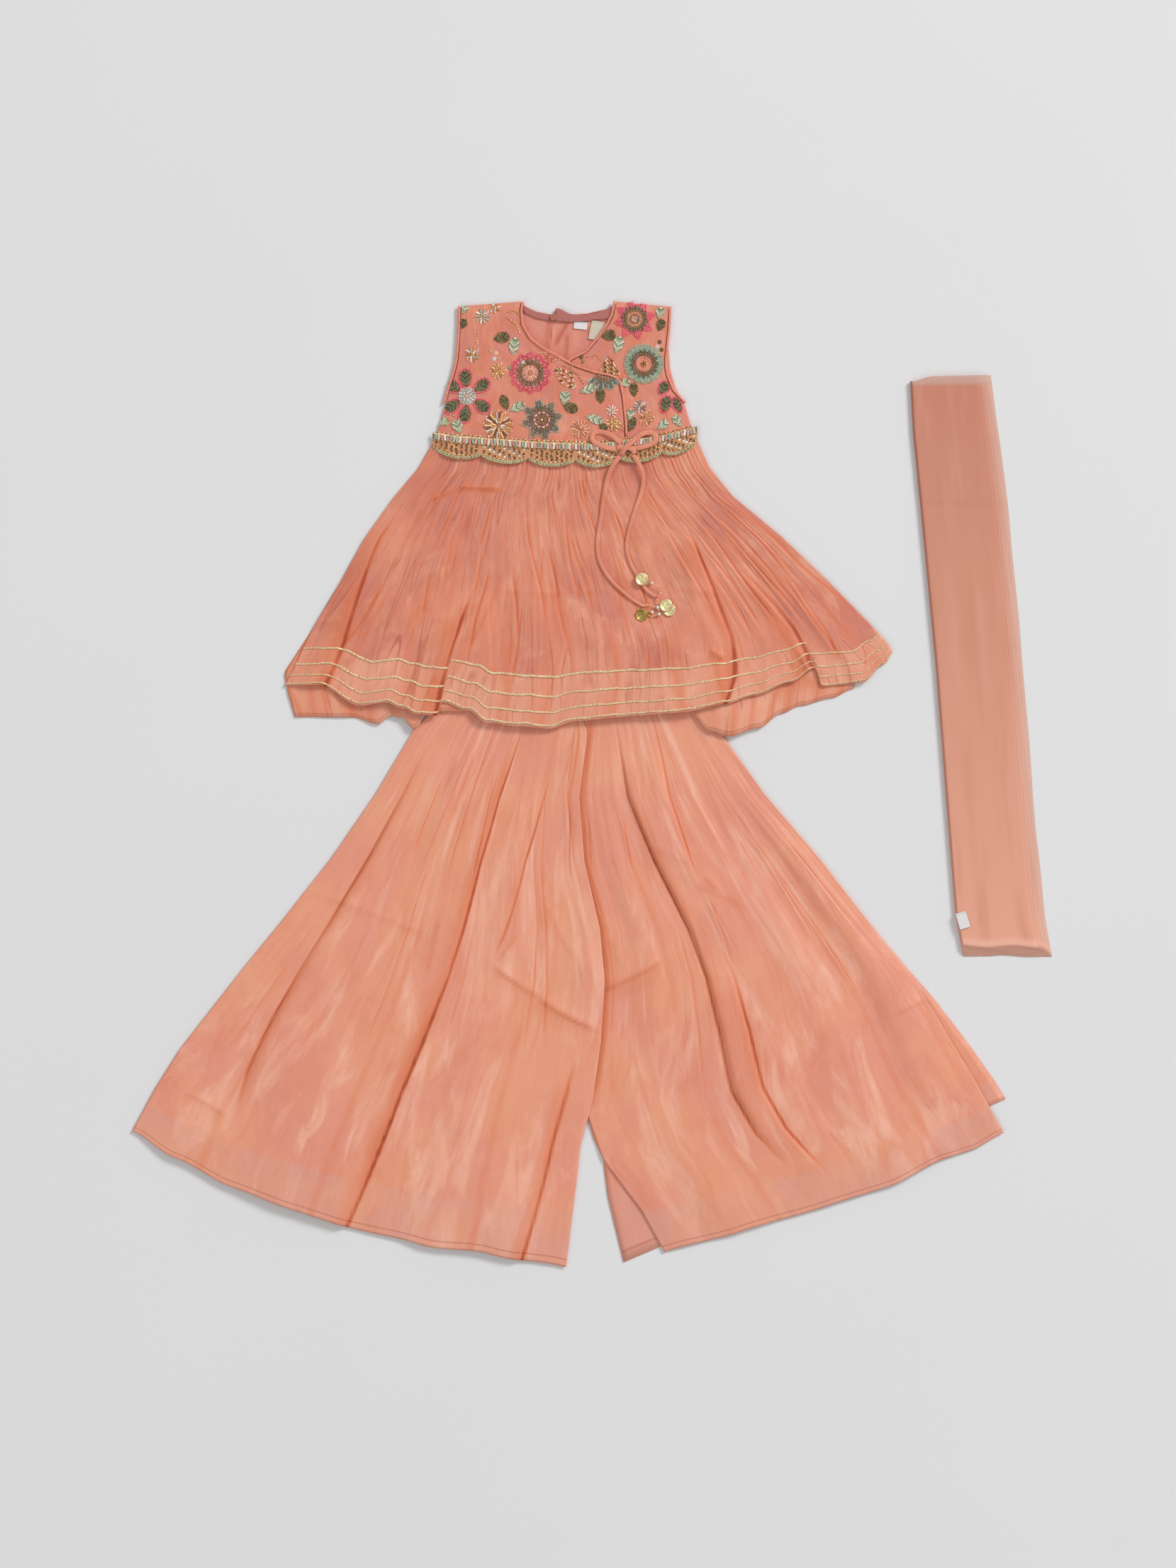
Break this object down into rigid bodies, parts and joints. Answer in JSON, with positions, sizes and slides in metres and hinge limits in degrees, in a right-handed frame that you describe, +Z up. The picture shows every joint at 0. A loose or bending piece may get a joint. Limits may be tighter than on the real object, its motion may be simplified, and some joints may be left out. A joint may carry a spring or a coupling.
{
  "type": "sharara suit",
  "caption": "Child's sharara suit laid flat: sleeveless crossover kurti with gathered skirt, wide flared trousers under it, and a long folded stole beside them.",
  "frame": {"origin": "centre of the laid out suit's footprint, on the surface it lies on", "axes": "+Z up from the surface, +Y from the trouser hems towards the neck, +X to the viewer's right, seen from above"},
  "size_m": [0.908, 0.9536, 0.0126],
  "materials": {
    "silk": "shot salmon tissue silk with a soft sheen",
    "lining": "plain salmon lining, satin",
    "embroidered_silk": "silk with bead and thread flowers",
    "piping": "mauve pink bias cut piping",
    "beaded_border": "mint, salmon and gold bead and sequin work",
    "gota": "woven gold ribbon with a metallic sheen",
    "dori": "silk cord",
    "net": "matt fine net in many layers",
    "white_label": "woven white tape, bare",
    "cream_label": "woven cream tape, bare",
    "coin": "stamped bright gold colour",
    "pearl": "pearl gloss",
    "button": "small gloss button"
  },
  "bodies": {
    "root": {"kurti_front_over": "embroidered_silk", "kurti_front_under": "embroidered_silk", "kurti_back": "lining", "neck_piping_over": "piping", "neck_piping_under": "piping", "back_neck_band": "piping", "armhole_piping_left": "piping", "armhole_piping_right": "piping", "back_button": "button", "size_tag": "white_label", "neck_label": "cream_label", "waist_border": "beaded_border", "skirt_front": "silk", "skirt_back": "lining", "gota_1": "gota", "gota_2": "gota", "gota_3": "gota", "gota_4": "gota", "dori_knot": "dori", "dori_loop_left": "dori", "dori_loop_right": "dori", "dori_tail_left": "dori", "dori_tail_right": "dori", "coin_1": "coin", "coin_2": "coin", "coin_3": "coin", "coin_4": "coin", "pearl_1": "pearl", "pearl_2": "pearl", "pearl_3": "pearl", "pearl_4": "pearl", "sharara_front_left": "silk", "sharara_front_right": "silk", "sharara_back_left": "lining", "sharara_back_right": "lining", "sharara_waistband": "lining", "dupatta": "net", "dupatta_tag": "white_label"}
  },
  "joints": []
}
